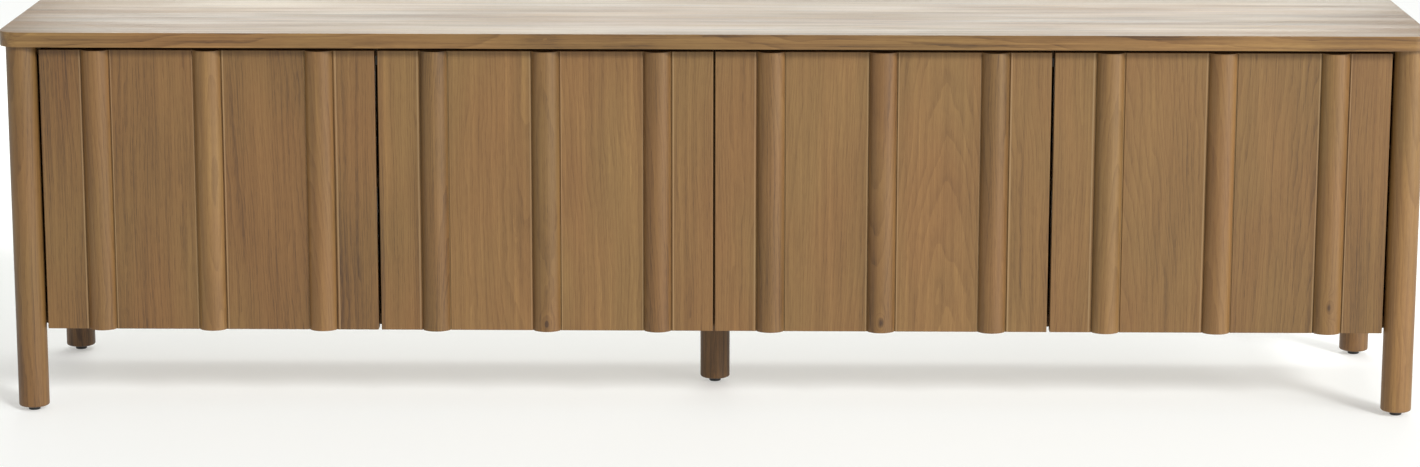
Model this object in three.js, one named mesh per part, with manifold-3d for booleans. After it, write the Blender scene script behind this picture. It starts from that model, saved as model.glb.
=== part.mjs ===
/**
 * Media cabinet: a full-width top on four round corner posts and one centre leg, with a two-bay
 * carcass between the posts behind four doors. Each door is a flat panel that carries three
 * half-round battens, swings on two concealed cup hinges and is held by a push latch.
 *
 * Millimetres, +X right, -Y front, +Z up. The origin is on the floor under the centre of the top.
 */
import * as THREE from 'three';
import { mergeVertices } from 'three/addons/utils/BufferGeometryUtils.js';
import Module from 'manifold-3d';

const wasm = await Module();
wasm.setup();

// ---------------------------------------------------------------- driving dimensions

// Overall size
const WIDTH = 2134;
const DEPTH = 457;
const HEIGHT = 584;

// Top
const TOP_THICKNESS = 22;
const TOP_OVERHANG = 8; // past the posts on every side
const TOP_EASING = 1.5; // chamfer round both faces

// Round corner posts and centre leg
const POST_DIAMETER = 46;
const POST_END_ROUND = 3;
const GLIDE_DIAMETER = 18;
const GLIDE_HEIGHT = 7; // the posts stand this far off the floor
const GLIDE_STEM_DIAMETER = 8;
const GLIDE_STEM_LENGTH = 22;
const LEG_PLATE_SIZE = 70;
const LEG_PLATE_THICKNESS = 3;

// Doors
const DOOR_BOTTOM = 128; // height of the doors' lower edge
const DOOR_THICKNESS = 20;
const DOOR_TOP_GAP = 7; // under the top
const DOOR_POST_GAP = 4;
const DOOR_MEETING_GAP = 4.5; // between the two doors of a bay
const DOOR_CENTRE_GAP = 3; // between the two bays' doors, over the partition
const DOOR_CARCASS_GAP = 2; // behind the doors
const BATTENS_PER_DOOR = 3;
const BATTEN_DIAMETER = 46; // of the round stock that the battens are sliced from
const BATTEN_PROUD = 12;
const BATTEN_SETBACK = 2; // of the battens' crests, behind the posts' front line

// Carcass
const PANEL_THICKNESS = 20; // side panels and partition
const PANEL_GROOVE_DEPTH = 8; // how far a side panel runs into each post
const BOTTOM_THICKNESS = 18;
const BOTTOM_LIFT = 3.5; // of the carcass bottom, above the doors' lower edge
const RAIL_THICKNESS = 18;
const RAIL_WIDTH = 70;
const BACK_THICKNESS = 6;
const BACK_SEAM = 1; // between the two back panels
const SHELF_THICKNESS = 18;
const SHELF_SETBACK = 20; // behind the carcass front
const SHELF_SIDE_GAP = 1;
const SHELF_BACK_GAP = 2;
const CABLE_SLOT_LENGTH = 120;
const CABLE_SLOT_HEIGHT = 50;
const CABLE_SLOT_OFFSET = 160; // from the middle of a bay towards the middle of the cabinet

// Concealed hinges, the standard 35 mm cup
const CUP_DIAMETER = 35;
const CUP_DEPTH = 11.5;
const CUP_WALL = 1;
const CUP_EDGE = 5; // from the cup to the door's edge
const CUP_FLANGE_HEIGHT = 62;
const CUP_FLANGE_WIDTH = 19;
const CUP_FLANGE_THICKNESS = 1.2;
const HINGE_INSET = 70; // from the door's top and bottom edges to the hinges
const HINGE_PLATE_THICKNESS = 3;
const HINGE_PLATE_HEIGHT = 40;
const HINGE_ARM_RISE = 10; // above its plate
const HINGE_ARM_HEIGHT = 13;
const HINGE_ARM_START = 20; // behind the door's back face
const HINGE_ARM_END = 66;
const HINGE_TIP_WIDTH = 11;
const HINGE_TIP_BACK = 8;
const HINGE_TIP_DIP = 4; // of the arm's tip, into the cup

// Push latches, one double housing to each bay
const LATCH_WIDTH = 76;
const LATCH_LENGTH = 60;
const LATCH_HEIGHT = 14;
const LATCH_SETBACK = 2.5; // behind the carcass front
const LATCH_WALL = 4; // behind the plungers' bores
const PLUNGER_SPACING = 44;
const PLUNGER_DIAMETER = 9;
const PLUNGER_LENGTH = 44;
const PLUNGER_GAP = 0.4; // from a plunger's tip to its closed door

// Clearances
const SEAT_GAP = 0.1; // between faces that are glued or screwed together
const FIT_GAP = 0.3; // round a piece that is let into another

// Fineness of round shapes
const POST_STEPS = 48;
const HARDWARE_STEPS = 24;
const ARC_STEPS = 14;

// ---------------------------------------------------------------- derived planes

const postRadius = POST_DIAMETER / 2;
const postX = WIDTH / 2 - TOP_OVERHANG - postRadius;
const postY = DEPTH / 2 - TOP_OVERHANG - postRadius;
const underTop = HEIGHT - TOP_THICKNESS - SEAT_GAP; // what stands under the top ends here

const battenCrestY = -(DEPTH / 2 - TOP_OVERHANG) + BATTEN_SETBACK;
const doorFaceY = battenCrestY + BATTEN_PROUD;
const doorBackY = doorFaceY + DOOR_THICKNESS;
const doorTop = HEIGHT - TOP_THICKNESS - DOOR_TOP_GAP;
const doorHeight = doorTop - DOOR_BOTTOM;
const doorsHalfSpan = postX - postRadius - DOOR_POST_GAP;
const doorWidth = (doorsHalfSpan - DOOR_CENTRE_GAP / 2 - DOOR_MEETING_GAP) / 2;
const meetingX = DOOR_CENTRE_GAP / 2 + doorWidth + DOOR_MEETING_GAP / 2;

const carcassFrontY = doorBackY + DOOR_CARCASS_GAP;
const backOuterY = postY - postRadius - FIT_GAP; // the back lies clear in front of the rear posts
const backInnerY = backOuterY - BACK_THICKNESS;
const carcassBackY = backInnerY - SEAT_GAP;
const sideInnerX = postX - PANEL_THICKNESS / 2;
const bottomUnder = DOOR_BOTTOM + BOTTOM_LIFT;
const bottomTop = bottomUnder + BOTTOM_THICKNESS;
const railUnder = underTop - RAIL_THICKNESS;
const shelfMiddle = (bottomTop + railUnder) / 2;

// ---------------------------------------------------------------- materials

const finish = (color, roughness, metalness) =>
  new THREE.MeshStandardMaterial({ color, roughness, metalness });

const stainedOak = finish(0x96744c, 0.5, 0);
const battenOak = finish(0x8c6a43, 0.5, 0);
const topOak = finish(0xa08560, 0.45, 0);
const backBoard = finish(0x7c6040, 0.7, 0);
const blackPlastic = finish(0x1a1a1a, 0.5, 0);
const greyPlastic = finish(0x8a8a88, 0.5, 0);
const nickelSteel = finish(0xb8b8b4, 0.3, 0.9);

// ---------------------------------------------------------------- solid helpers

/** The manifold solid of a closed three.js geometry. */
function solidOf(geometry) {
  const bare = geometry.clone();
  bare.deleteAttribute('normal');
  bare.deleteAttribute('uv');
  const merged = mergeVertices(bare, 1e-4);
  const corners = merged.index.array;
  const triangles = [];
  for (let i = 0; i < corners.length; i += 3) {
    const [a, b, c] = [corners[i], corners[i + 1], corners[i + 2]];
    if (a !== b && b !== c && c !== a) triangles.push(a, b, c);
  }
  return new wasm.Manifold(new wasm.Mesh({
    numProp: 3,
    vertProperties: new Float32Array(merged.attributes.position.array),
    triVerts: new Uint32Array(triangles),
  }));
}

/** The three.js geometry of a manifold solid. */
function geometryOf(solid) {
  const mesh = solid.getMesh();
  const geometry = new THREE.BufferGeometry();
  geometry.setAttribute('position', new THREE.BufferAttribute(mesh.vertProperties, 3));
  geometry.setIndex(new THREE.BufferAttribute(mesh.triVerts, 1));
  geometry.computeVertexNormals();
  return geometry;
}

/** A geometry with every tool cut out of it. */
function cut(geometry, tools) {
  return geometryOf(tools.reduce((solid, tool) => solid.subtract(solidOf(tool)), solidOf(geometry)));
}

/** Several overlapping geometries as one body. */
function join(first, ...others) {
  return geometryOf(others.reduce((solid, other) => solid.add(solidOf(other)), solidOf(first)));
}

/** A box between two corners. */
function box([x0, y0, z0], [x1, y1, z1]) {
  const geometry = new THREE.BoxGeometry(x1 - x0, y1 - y0, z1 - z0);
  return geometry.translate((x0 + x1) / 2, (y0 + y1) / 2, (z0 + z1) / 2);
}

/** A cylinder along Z that stands on height z0. */
function uprightCylinder(radius, z0, z1) {
  const geometry = new THREE.CylinderGeometry(radius, radius, z1 - z0, POST_STEPS);
  return geometry.rotateX(Math.PI / 2).translate(0, 0, (z0 + z1) / 2);
}

/** A cylinder along Y from y0 to y1. */
function levelCylinder(radius, y0, y1) {
  const geometry = new THREE.CylinderGeometry(radius, radius, y1 - y0, HARDWARE_STEPS);
  return geometry.translate(0, (y0 + y1) / 2, 0);
}

/** A turned piece: profile points are [radius, height], from the axis round to the axis. */
function turned(profile, steps) {
  const points = profile.map(([radius, height]) => new THREE.Vector2(radius, height));
  return new THREE.LatheGeometry(points, steps).rotateX(Math.PI / 2);
}

/** A rectangle with round corners, centred on the origin. */
function roundedRectangle(width, depth, radius) {
  const [x, y] = [width / 2, depth / 2];
  const shape = new THREE.Shape();
  shape.absarc(x - radius, y - radius, radius, 0, Math.PI / 2);
  shape.absarc(-x + radius, y - radius, radius, Math.PI / 2, Math.PI);
  shape.absarc(-x + radius, -y + radius, radius, Math.PI, Math.PI * 1.5);
  shape.absarc(x - radius, -y + radius, radius, Math.PI * 1.5, Math.PI * 2);
  shape.closePath();
  return shape;
}

const cabinet = new THREE.Group();

/** Adds one named piece to the cabinet. */
function add(name, geometry, material, [x, y, z] = [0, 0, 0]) {
  const mesh = new THREE.Mesh(geometry, material);
  mesh.name = name;
  mesh.position.set(x, y, z);
  cabinet.add(mesh);
}

const SIDES = [['left', -1], ['right', 1]];
const ENDS = [['front', -1], ['rear', 1]];

// ---------------------------------------------------------------- top

/** The top: round corners follow the posts, and both faces have an eased edge. */
function topGeometry() {
  const outline = roundedRectangle(WIDTH, DEPTH, postRadius + TOP_OVERHANG);
  return new THREE.ExtrudeGeometry(outline, {
    depth: TOP_THICKNESS - 2 * TOP_EASING,
    bevelSize: TOP_EASING,
    bevelThickness: TOP_EASING,
    bevelOffset: -TOP_EASING,
    bevelSegments: 1,
    curveSegments: ARC_STEPS,
  });
}

add('top', topGeometry(), topOak, [0, 0, HEIGHT - TOP_THICKNESS + TOP_EASING]);

// ---------------------------------------------------------------- posts, centre leg and glides

/** A round leg from the glide up to height topZ, rounded at its foot and bored for the stem. */
function legGeometry(topZ) {
  const boreRadius = GLIDE_STEM_DIAMETER / 2 + FIT_GAP;
  const boreTop = GLIDE_HEIGHT + GLIDE_STEM_LENGTH + FIT_GAP;
  const profile = [[0, boreTop], [boreRadius, boreTop], [boreRadius, GLIDE_HEIGHT]];
  const footSteps = 4;
  for (let i = 0; i <= footSteps; i += 1) {
    const turn = (Math.PI / 2) * (i / footSteps);
    profile.push([
      postRadius - POST_END_ROUND + POST_END_ROUND * Math.sin(turn),
      GLIDE_HEIGHT + POST_END_ROUND - POST_END_ROUND * Math.cos(turn),
    ]);
  }
  profile.push([postRadius, topZ], [0, topZ]);
  return turned(profile, POST_STEPS);
}

/** A corner post: a leg with a groove that the side panel runs into. */
function postGeometry(grooveSide) {
  const grooveHalf = PANEL_THICKNESS / 2 + FIT_GAP;
  const floorOfGroove = grooveSide * (postRadius - PANEL_GROOVE_DEPTH - FIT_GAP);
  const outside = grooveSide * (postRadius + FIT_GAP);
  const groove = box(
    [-grooveHalf, Math.min(floorOfGroove, outside), DOOR_BOTTOM - FIT_GAP],
    [grooveHalf, Math.max(floorOfGroove, outside), HEIGHT],
  );
  return cut(legGeometry(underTop), [groove]);
}

/** An adjustable glide: a round pad on a stem. */
function glideGeometry() {
  const padRadius = GLIDE_DIAMETER / 2;
  const padTop = GLIDE_HEIGHT - SEAT_GAP;
  const padEasing = 0.8;
  return turned([
    [0, 0],
    [padRadius - padEasing, 0],
    [padRadius, padEasing],
    [padRadius, padTop],
    [GLIDE_STEM_DIAMETER / 2, padTop],
    [GLIDE_STEM_DIAMETER / 2, GLIDE_HEIGHT + GLIDE_STEM_LENGTH],
    [0, GLIDE_HEIGHT + GLIDE_STEM_LENGTH],
  ], HARDWARE_STEPS);
}

for (const [end, endSign] of ENDS) {
  for (const [side, sideSign] of SIDES) {
    const place = [sideSign * postX, endSign * postY, 0];
    add(`post_${end}_${side}`, postGeometry(-endSign), battenOak, place);
    add(`glide_${end}_${side}`, glideGeometry(), blackPlastic, place);
  }
}

const legPlateTop = bottomUnder - SEAT_GAP;
const legPlateUnder = legPlateTop - LEG_PLATE_THICKNESS;
const legPlateOutline = roundedRectangle(LEG_PLATE_SIZE, LEG_PLATE_SIZE, LEG_PLATE_THICKNESS * 2);
const legPlate = new THREE.ExtrudeGeometry(legPlateOutline, {
  depth: LEG_PLATE_THICKNESS,
  bevelEnabled: false,
  curveSegments: 4,
});
add('centre_leg', legGeometry(legPlateUnder - SEAT_GAP), battenOak);
add('centre_leg_plate', legPlate, nickelSteel, [0, 0, legPlateUnder]);
add('glide_centre', glideGeometry(), blackPlastic);

// ---------------------------------------------------------------- carcass

/** The room that a corner post needs in a board that meets it. */
function postClearance(sideSign, endSign) {
  const clearance = uprightCylinder(postRadius + FIT_GAP, 0, HEIGHT);
  return clearance.translate(sideSign * postX, endSign * postY, 0);
}

/** A level board from side panel to side panel, notched round the front posts. */
function levelBoard(y0, y1, z0, z1) {
  const halfLength = sideInnerX - SEAT_GAP;
  const board = box([-halfLength, y0, z0], [halfLength, y1, z1]);
  return cut(board, SIDES.map(([, sideSign]) => postClearance(sideSign, -1)));
}

for (const [side, sideSign] of SIDES) {
  const halfDepth = postY - postRadius + PANEL_GROOVE_DEPTH;
  const panel = box(
    [-PANEL_THICKNESS / 2, -halfDepth, DOOR_BOTTOM],
    [PANEL_THICKNESS / 2, halfDepth, underTop],
  );
  add(`side_panel_${side}`, panel, stainedOak, [sideSign * postX, 0, 0]);
}

add('bottom_panel', levelBoard(carcassFrontY, carcassBackY, bottomUnder, bottomTop), stainedOak);

const frontRailBackY = carcassFrontY + RAIL_WIDTH;
const rearRailFrontY = carcassBackY - RAIL_WIDTH;
add('top_rail_front', levelBoard(carcassFrontY, frontRailBackY, railUnder, underTop), stainedOak);
add('top_rail_rear', levelBoard(rearRailFrontY, carcassBackY, railUnder, underTop), stainedOak);

/** The partition between the bays, notched over both rails. */
function partitionGeometry() {
  const lower = bottomTop + SEAT_GAP;
  const notchFloor = railUnder - SEAT_GAP;
  const board = box(
    [-PANEL_THICKNESS / 2, carcassFrontY, lower],
    [PANEL_THICKNESS / 2, carcassBackY, underTop],
  );
  const notchHalf = PANEL_THICKNESS;
  const frontNotch = box(
    [-notchHalf, carcassFrontY - FIT_GAP, notchFloor],
    [notchHalf, frontRailBackY + FIT_GAP, HEIGHT],
  );
  const rearNotch = box(
    [-notchHalf, rearRailFrontY - FIT_GAP, notchFloor],
    [notchHalf, carcassBackY + FIT_GAP, HEIGHT],
  );
  return cut(board, [frontNotch, rearNotch]);
}

add('centre_partition', partitionGeometry(), stainedOak);

/** A slot with round ends through a back panel, along X, as a cutting tool. */
function cableSlot(x, z) {
  const outline = roundedRectangle(CABLE_SLOT_LENGTH, CABLE_SLOT_HEIGHT, CABLE_SLOT_HEIGHT / 2);
  const reach = 3 * BACK_THICKNESS;
  const slot = new THREE.ExtrudeGeometry(outline, { depth: reach, bevelEnabled: false, curveSegments: 8 });
  return slot.rotateX(Math.PI / 2).translate(x, backInnerY + BACK_THICKNESS / 2 + reach / 2, z);
}

const bayMiddleX = (sideInnerX + PANEL_THICKNESS / 2) / 2;
const lowerBayMiddle = (bottomTop + shelfMiddle) / 2;
const upperBayMiddle = (railUnder + shelfMiddle) / 2;

for (const [side, sideSign] of SIDES) {
  const inner = sideSign * BACK_SEAM / 2;
  const outer = sideSign * (sideInnerX - SEAT_GAP);
  const board = box(
    [Math.min(inner, outer), backInnerY, bottomUnder],
    [Math.max(inner, outer), backOuterY, underTop],
  );
  const slotX = sideSign * (bayMiddleX - CABLE_SLOT_OFFSET);
  const slots = [lowerBayMiddle, upperBayMiddle].map((z) => cableSlot(slotX, z));
  add(`back_panel_${side}`, cut(board, slots), backBoard);
}

for (const [side, sideSign] of SIDES) {
  const length = sideInnerX - PANEL_THICKNESS / 2 - 2 * SHELF_SIDE_GAP;
  const shelf = box(
    [-length / 2, carcassFrontY + SHELF_SETBACK, -SHELF_THICKNESS / 2],
    [length / 2, carcassBackY - SHELF_BACK_GAP, SHELF_THICKNESS / 2],
  );
  add(`shelf_${side}`, shelf, stainedOak, [sideSign * bayMiddleX, 0, shelfMiddle]);
}

// ---------------------------------------------------------------- doors

/**
 * The four doors, from left to right. hinge is the side of its own hinged edge, and face is the
 * carcass face that carries its hinges.
 */
const DOORS = [
  { name: 'door_1', hinge: -1, edge: -doorsHalfSpan, face: -sideInnerX },
  { name: 'door_2', hinge: 1, edge: -DOOR_CENTRE_GAP / 2, face: -PANEL_THICKNESS / 2 },
  { name: 'door_3', hinge: -1, edge: DOOR_CENTRE_GAP / 2, face: PANEL_THICKNESS / 2 },
  { name: 'door_4', hinge: 1, edge: doorsHalfSpan, face: sideInnerX },
];
const HINGE_LEVELS = [
  ['lower', DOOR_BOTTOM + HINGE_INSET],
  ['upper', doorTop - HINGE_INSET],
];
const cupInset = CUP_EDGE + CUP_DIAMETER / 2;

/** A door's flat panel with its two cup bores, centred on x = 0. */
function doorPanelGeometry(hinge) {
  const panel = box([-doorWidth / 2, doorFaceY, DOOR_BOTTOM], [doorWidth / 2, doorBackY, doorTop]);
  const cupX = hinge * (doorWidth / 2 - cupInset);
  const boreRadius = CUP_DIAMETER / 2 + FIT_GAP;
  const bores = HINGE_LEVELS.map(([, z]) => {
    const bore = levelCylinder(boreRadius, doorBackY - CUP_DEPTH - FIT_GAP, doorBackY + FIT_GAP);
    return bore.translate(cupX, 0, z);
  });
  return cut(panel, bores);
}

/** A batten: a slice of round stock with its flat back at y = 0. */
function battenGeometry() {
  const radius = BATTEN_DIAMETER / 2;
  const centre = radius - BATTEN_PROUD;
  const halfAngle = Math.acos(centre / radius);
  const outline = new THREE.Shape();
  outline.absarc(0, centre, radius, -Math.PI / 2 - halfAngle, -Math.PI / 2 + halfAngle);
  outline.closePath();
  return new THREE.ExtrudeGeometry(outline, {
    depth: doorHeight,
    bevelEnabled: false,
    curveSegments: ARC_STEPS,
  });
}

/** A hinge cup with its flange, centred on the cup, with the door's back face at y = 0. */
function hingeCupGeometry() {
  const seat = SEAT_GAP;
  const outerFace = seat + CUP_FLANGE_THICKNESS;
  const cup = levelCylinder(CUP_DIAMETER / 2, -CUP_DEPTH, outerFace);
  const flange = box(
    [-CUP_FLANGE_WIDTH / 2, seat, -CUP_FLANGE_HEIGHT / 2],
    [CUP_FLANGE_WIDTH / 2, outerFace, CUP_FLANGE_HEIGHT / 2],
  );
  const bowl = levelCylinder(CUP_DIAMETER / 2 - CUP_WALL, -CUP_DEPTH + CUP_WALL, outerFace + 1);
  return cut(join(cup, flange), [bowl]);
}

/**
 * A hinge arm with its mounting plate. The plate lies on the carcass face at x = 0, inward is the
 * sign of the bay's side, cupX the distance to the cup's centre, and y = 0 the door's back face.
 */
function hingeArmGeometry(inward, cupX) {
  const plateTop = SEAT_GAP + HINGE_PLATE_THICKNESS;
  const armTop = plateTop + HINGE_ARM_RISE;
  const armFoot = plateTop / 2; // the arm starts inside its plate
  const tipNear = cupX - HINGE_TIP_WIDTH / 2;
  const tipFar = cupX + HINGE_TIP_WIDTH / 2;
  const slope = HINGE_ARM_RISE / 2;
  const outline = new THREE.Shape([
    [armFoot, HINGE_ARM_END],
    [armFoot, HINGE_ARM_START],
    [tipNear, HINGE_TIP_BACK],
    [tipNear, -HINGE_TIP_DIP],
    [tipFar, -HINGE_TIP_DIP],
    [tipFar, HINGE_TIP_BACK],
    [armTop, HINGE_ARM_START + slope],
    [armTop, HINGE_ARM_END - slope],
  ].map(([x, y]) => new THREE.Vector2(inward * x, y)));
  const arm = new THREE.ExtrudeGeometry(outline, { depth: HINGE_ARM_HEIGHT, bevelEnabled: false });
  arm.translate(0, 0, -HINGE_ARM_HEIGHT / 2);
  const near = inward * SEAT_GAP;
  const far = inward * plateTop;
  const plate = box(
    [Math.min(near, far), HINGE_ARM_START, -HINGE_PLATE_HEIGHT / 2],
    [Math.max(near, far), HINGE_ARM_END, HINGE_PLATE_HEIGHT / 2],
  );
  return join(plate, arm);
}

for (const { name, hinge, edge, face } of DOORS) {
  const middleX = edge - hinge * doorWidth / 2;
  add(`${name}_panel`, doorPanelGeometry(hinge), stainedOak, [middleX, 0, 0]);
  for (let i = 0; i < BATTENS_PER_DOOR; i += 1) {
    const offset = ((i + 0.5) / BATTENS_PER_DOOR - 0.5) * doorWidth;
    const place = [middleX + offset, doorFaceY - SEAT_GAP, DOOR_BOTTOM];
    add(`${name}_batten_${i + 1}`, battenGeometry(), battenOak, place);
  }
  for (const [level, z] of HINGE_LEVELS) {
    const cupX = edge - hinge * cupInset;
    add(`${name}_hinge_cup_${level}`, hingeCupGeometry(), nickelSteel, [cupX, doorBackY, z]);
    const arm = hingeArmGeometry(-hinge, Math.abs(cupX - face));
    add(`${name}_hinge_arm_${level}`, arm, nickelSteel, [face, doorBackY, z]);
  }
}

// ---------------------------------------------------------------- push latches

const plungerTipY = doorBackY + PLUNGER_GAP;
const latchFrontY = carcassFrontY + LATCH_SETBACK;
const latchTop = railUnder - SEAT_GAP;
const plungerZ = latchTop - LATCH_HEIGHT / 2;

/** A double housing under the front rail, with an open bore for each plunger. */
function latchHousingGeometry() {
  const housing = box(
    [-LATCH_WIDTH / 2, latchFrontY, latchTop - LATCH_HEIGHT],
    [LATCH_WIDTH / 2, latchFrontY + LATCH_LENGTH, latchTop],
  );
  const boreRadius = PLUNGER_DIAMETER / 2 + FIT_GAP;
  const bores = SIDES.map(([, sideSign]) => {
    const bore = levelCylinder(boreRadius, latchFrontY - 1, latchFrontY + LATCH_LENGTH - LATCH_WALL);
    return bore.translate(sideSign * PLUNGER_SPACING / 2, 0, plungerZ);
  });
  return cut(housing, bores);
}

for (const [side, sideSign] of SIDES) {
  add(`latch_housing_${side}`, latchHousingGeometry(), greyPlastic, [sideSign * meetingX, 0, 0]);
}

DOORS.forEach(({ name, hinge }, i) => {
  const bayX = (i < 2 ? -1 : 1) * meetingX;
  const plunger = levelCylinder(PLUNGER_DIAMETER / 2, 0, PLUNGER_LENGTH);
  const place = [bayX + hinge * PLUNGER_SPACING / 2, plungerTipY, plungerZ];
  add(`${name}_latch_plunger`, plunger, blackPlastic, place);
});

export default cabinet;
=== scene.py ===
# %% [markdown]
# # A media cabinet in stained oak
# This lesson dresses a long, low media cabinet. The structure arrives as a finished frame: every
# board, post, hinge and latch already has its size and place, and it knows which part moves. What
# is made here is what the eye judges: eased edges, wood grain that runs the right way in each
# board, screws, hinge links, shelf pins, and the light of a pale studio. All lengths are in metres,
# +X is the cabinet's right-hand end, -Y its front and +Z up.

# %% Load the frame
import math
from functools import partial

import bmesh
import bpy
from mathutils import Matrix, Vector


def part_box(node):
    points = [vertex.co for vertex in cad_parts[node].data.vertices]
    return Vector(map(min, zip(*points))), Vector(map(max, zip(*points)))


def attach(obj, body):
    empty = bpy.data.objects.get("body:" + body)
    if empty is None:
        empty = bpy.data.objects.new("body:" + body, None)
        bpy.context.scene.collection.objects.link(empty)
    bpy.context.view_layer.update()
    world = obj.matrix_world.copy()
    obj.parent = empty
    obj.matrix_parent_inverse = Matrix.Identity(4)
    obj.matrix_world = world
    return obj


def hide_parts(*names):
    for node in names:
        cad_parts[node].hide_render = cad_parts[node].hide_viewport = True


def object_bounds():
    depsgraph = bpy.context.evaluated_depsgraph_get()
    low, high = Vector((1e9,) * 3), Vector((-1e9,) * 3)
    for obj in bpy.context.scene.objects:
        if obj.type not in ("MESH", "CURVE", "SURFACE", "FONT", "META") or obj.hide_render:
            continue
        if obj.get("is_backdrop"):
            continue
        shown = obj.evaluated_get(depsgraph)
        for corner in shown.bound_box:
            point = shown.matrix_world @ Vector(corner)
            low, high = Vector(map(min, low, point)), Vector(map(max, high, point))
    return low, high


MM = 0.001
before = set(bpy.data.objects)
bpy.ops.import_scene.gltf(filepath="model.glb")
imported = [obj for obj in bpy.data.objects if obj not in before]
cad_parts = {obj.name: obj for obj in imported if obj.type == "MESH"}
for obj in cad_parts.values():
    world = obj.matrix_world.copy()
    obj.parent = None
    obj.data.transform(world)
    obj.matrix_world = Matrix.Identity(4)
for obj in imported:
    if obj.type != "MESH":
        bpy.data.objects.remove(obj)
cad_low, cad_high = (Vector(corner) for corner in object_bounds())
size = cad_high - cad_low
print("cabinet, mm:", [round(side / MM) for side in size])

# %% [markdown]
# ## The camera
# A cabinet this long is usually taken from a few metres away with a longish lens, so that its
# verticals stay nearly upright and its two ends look alike. A wide lens close by would splay the
# posts. The camera stands 5.3 m in front at about chest height and looks down by about twelve
# degrees, which shows the top as a thin bright band.

# %% Place the camera
CAMERA_PLACE = Vector((0.051, -5.559, 1.390))
CAMERA_PITCH = math.radians(-11.73)
CAMERA_YAW = math.radians(-0.61)
CAMERA_ROLL = math.radians(0.08)
camera_data = bpy.data.cameras.new("camera")
camera_data.sensor_width = 36
camera_data.lens = 92.1
camera = bpy.data.objects.new("camera", camera_data)
bpy.context.collection.objects.link(camera)
looking = Vector((
    math.sin(CAMERA_YAW) * math.cos(CAMERA_PITCH),
    math.cos(CAMERA_YAW) * math.cos(CAMERA_PITCH),
    math.sin(CAMERA_PITCH),
))
aim = looking.to_track_quat("-Z", "Y").to_matrix().to_4x4()
camera.matrix_world = Matrix.Translation(CAMERA_PLACE) @ aim @ Matrix.Rotation(CAMERA_ROLL, 4, "Z")
bpy.context.scene.camera = camera
print("camera looks along", [round(part, 3) for part in looking])

# %% [markdown]
# ## Colours and shader nodes
# Paint charts and screens give colours as sRGB hex values, but a renderer works with linear light,
# so one function converts them. Materials below are built from shader nodes. One helper adds a
# node of any kind, sets its options and fills its inputs, each with a value or with another node's
# output, and hands back the node's first output, which the next node can take in turn.

# %% Colour and node helpers
def hex_colour(code):
    """An sRGB hex code as linear RGBA."""
    channels = [int(code[i:i + 2], 16) / 255 for i in (1, 3, 5)]
    linear = [c / 12.92 if c <= 0.04045 else ((c + 0.055) / 1.055) ** 2.4 for c in channels]
    return (*linear, 1.0)


def add_node(tree, kind, *inputs, named=None, **settings):
    """Adds a shader node, fills its inputs in order and by name, and returns its first output."""
    made = tree.nodes.new("ShaderNode" + kind)
    for key, value in settings.items():
        setattr(made, key, value)
    for key, value in [*enumerate(inputs), *(named or {}).items()]:
        if isinstance(value, bpy.types.NodeSocket):
            tree.links.new(value, made.inputs[key])
        elif value is not None:
            made.inputs[key].default_value = value
    return made.outputs[0] if len(made.outputs) else None


def new_material(name):
    """A new material, its node tree, and the place of the point that is shaded."""
    material = bpy.data.materials.new(name)
    material.use_nodes = True
    tree = material.node_tree
    tree.nodes.clear()
    return material, tree, add_node(tree, "TexCoord").node.outputs["Object"]


def fill_ramp(socket, stops, interpolation="LINEAR"):
    """Gives the colour ramp behind a socket its stops, as (position, linear RGBA) in rising order."""
    ramp = socket.node.color_ramp
    ramp.interpolation = interpolation
    while len(ramp.elements) > 1:
        ramp.elements.remove(ramp.elements[-1])
    ramp.elements[0].position, ramp.elements[0].color = stops[0]
    for position, colour in stops[1:]:
        ramp.elements.new(position).color = colour
    return socket


print("mid oak in linear light:", [round(c, 3) for c in hex_colour("#90714e")])

# %% [markdown]
# ## Stained oak
# Oak shows four things at arm's length. Growth rings, cut lengthwise, draw fine lines along the
# board, and where a flat-sawn board grazes the rings they close into tall arches called cathedrals.
# The first wood of each ring is open-pored, so it takes more stain and reads darker. Short dark
# dashes are single pores, and soft clouds of tone come from the stain itself. An image texture would
# repeat on every board. Here the wood is solid: rings are cylinders round a pith that lies behind
# the board, so faces, edges and end grain agree with each other.
#
# A grid across the grain tells the boards apart. Where they are seen most, the boards are given one
# by one, each with its tone and its pith. Everywhere else they come from a random number that
# depends on the board's place.

# %% Each board's own numbers
def board_numbers(tree, name, across, deep, board, origin, chosen):
    """
    The board at each point: its number in the grid, a random value, and a vector of three numbers
    from 0 to 1, its tone, its pith's place across and its pith's depth. chosen lists boards given
    one by one as (where it starts, tone, place across, depth); without it, they are random. The
    name's length is part of the seed, so that most materials get boards of their own.
    """
    add = partial(add_node, tree)
    from_origin = add("Math", across, origin, operation="SUBTRACT")
    cell = add("Math", add("Math", from_origin, board, operation="DIVIDE"), operation="FLOOR")
    side = add("Math", add("Math", deep, operation="SIGN"), 5.0, operation="MULTIPLY")
    seed = add("CombineXYZ", cell, side, float(len(name)))
    chance = add("TexWhiteNoise", seed, noise_dimensions="3D").node
    numbers = chance.outputs["Color"]
    if chosen:
        low, high = chosen[0][0], -chosen[0][0]
        stops = [((start - low) / (high - low), (*values, 1)) for start, *values in chosen]
        span = add("MapRange", across, low, high)
        numbers = fill_ramp(add("ValToRGB", span), stops, "CONSTANT")
    return cell, chance.outputs["Value"], numbers


print("a board's numbers: tone, pith across, pith depth")

# %% [markdown]
# ## Rings and knots
# A ring is counted from the distance to the pith. Good and poor years make wide and narrow rings,
# and the trunk is never quite round. Where a branch grew, the rings bulge round a small dark core.

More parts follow.
